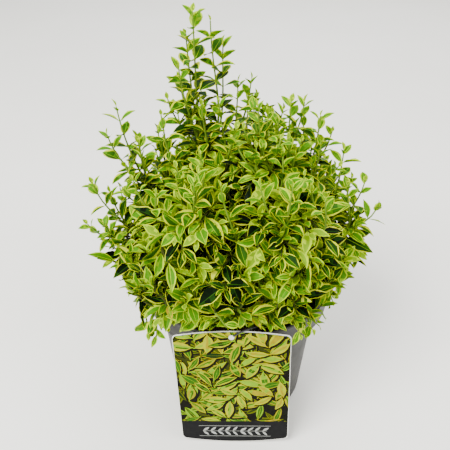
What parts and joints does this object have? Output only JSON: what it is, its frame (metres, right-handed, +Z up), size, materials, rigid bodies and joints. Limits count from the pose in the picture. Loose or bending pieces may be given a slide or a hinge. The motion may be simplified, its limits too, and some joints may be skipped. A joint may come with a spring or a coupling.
{
  "type": "wintercreeper euonymus in a nursery pot",
  "caption": "Young bushy evergreen shrub with yellow-edged leaves and upright shoots, in a round tapered nursery pot with an upright picture label on its rim.",
  "frame": {"origin": "middle of the pot's flat underside, on the ground and on the pot's axis", "axes": "+Z up along the pot's axis; -Y is the front, where the label hangs; +X is to the right as seen from the front"},
  "size_m": [0.3014, 0.268, 0.4202],
  "materials": {
    "nursery_pot": "satin moulded grey plastic",
    "potting_soil": "moist crumbly peat",
    "woody_stem": "grey-brown young bark",
    "green_stem": "smooth green young bark",
    "leaves": "leathery leaf, green with a yellow edge",
    "label_card": "smooth printed plastic card",
    "label_clip": "dark moulded plastic"
  },
  "bodies": {
    "root": {"pot": "nursery_pot", "potting_soil": "potting_soil", "main_stem": "woody_stem", "label_card": "label_card", "label_clip": "label_clip", "bough_top_crest": "green_stem", "bough_top_centre": "green_stem", "bough_top_left": "green_stem", "bough_top_right": "green_stem", "bough_top_back_left": "green_stem", "bough_top_back_right": "green_stem", "bough_top_front_left": "green_stem", "bough_top_front_right": "green_stem", "bough_inner_front_left": "green_stem", "bough_inner_front_right": "green_stem", "bough_inner_back_right": "green_stem", "bough_inner_back_left": "green_stem", "bough_skirt_right": "green_stem", "bough_skirt_back_right": "green_stem", "bough_skirt_back": "green_stem", "bough_skirt_back_left": "green_stem", "bough_skirt_left": "green_stem", "bough_skirt_front_left": "green_stem", "bough_skirt_front": "green_stem", "bough_skirt_front_right": "green_stem", "foliage_heart": "leaves", "foliage_top_crest": "leaves", "foliage_top_centre": "leaves", "foliage_top_left": "leaves", "foliage_top_right": "leaves", "foliage_top_back_left": "leaves", "foliage_top_back_right": "leaves", "foliage_top_front_left": "leaves", "foliage_top_front_right": "leaves", "foliage_inner_front_left": "leaves", "foliage_inner_front_right": "leaves", "foliage_inner_back_right": "leaves", "foliage_inner_back_left": "leaves", "foliage_skirt_right": "leaves", "foliage_skirt_back_right": "leaves", "foliage_skirt_back": "leaves", "foliage_skirt_back_left": "leaves", "foliage_skirt_left": "leaves", "foliage_skirt_front_left": "leaves", "foliage_skirt_front": "leaves", "foliage_skirt_front_right": "leaves"}
  },
  "joints": []
}
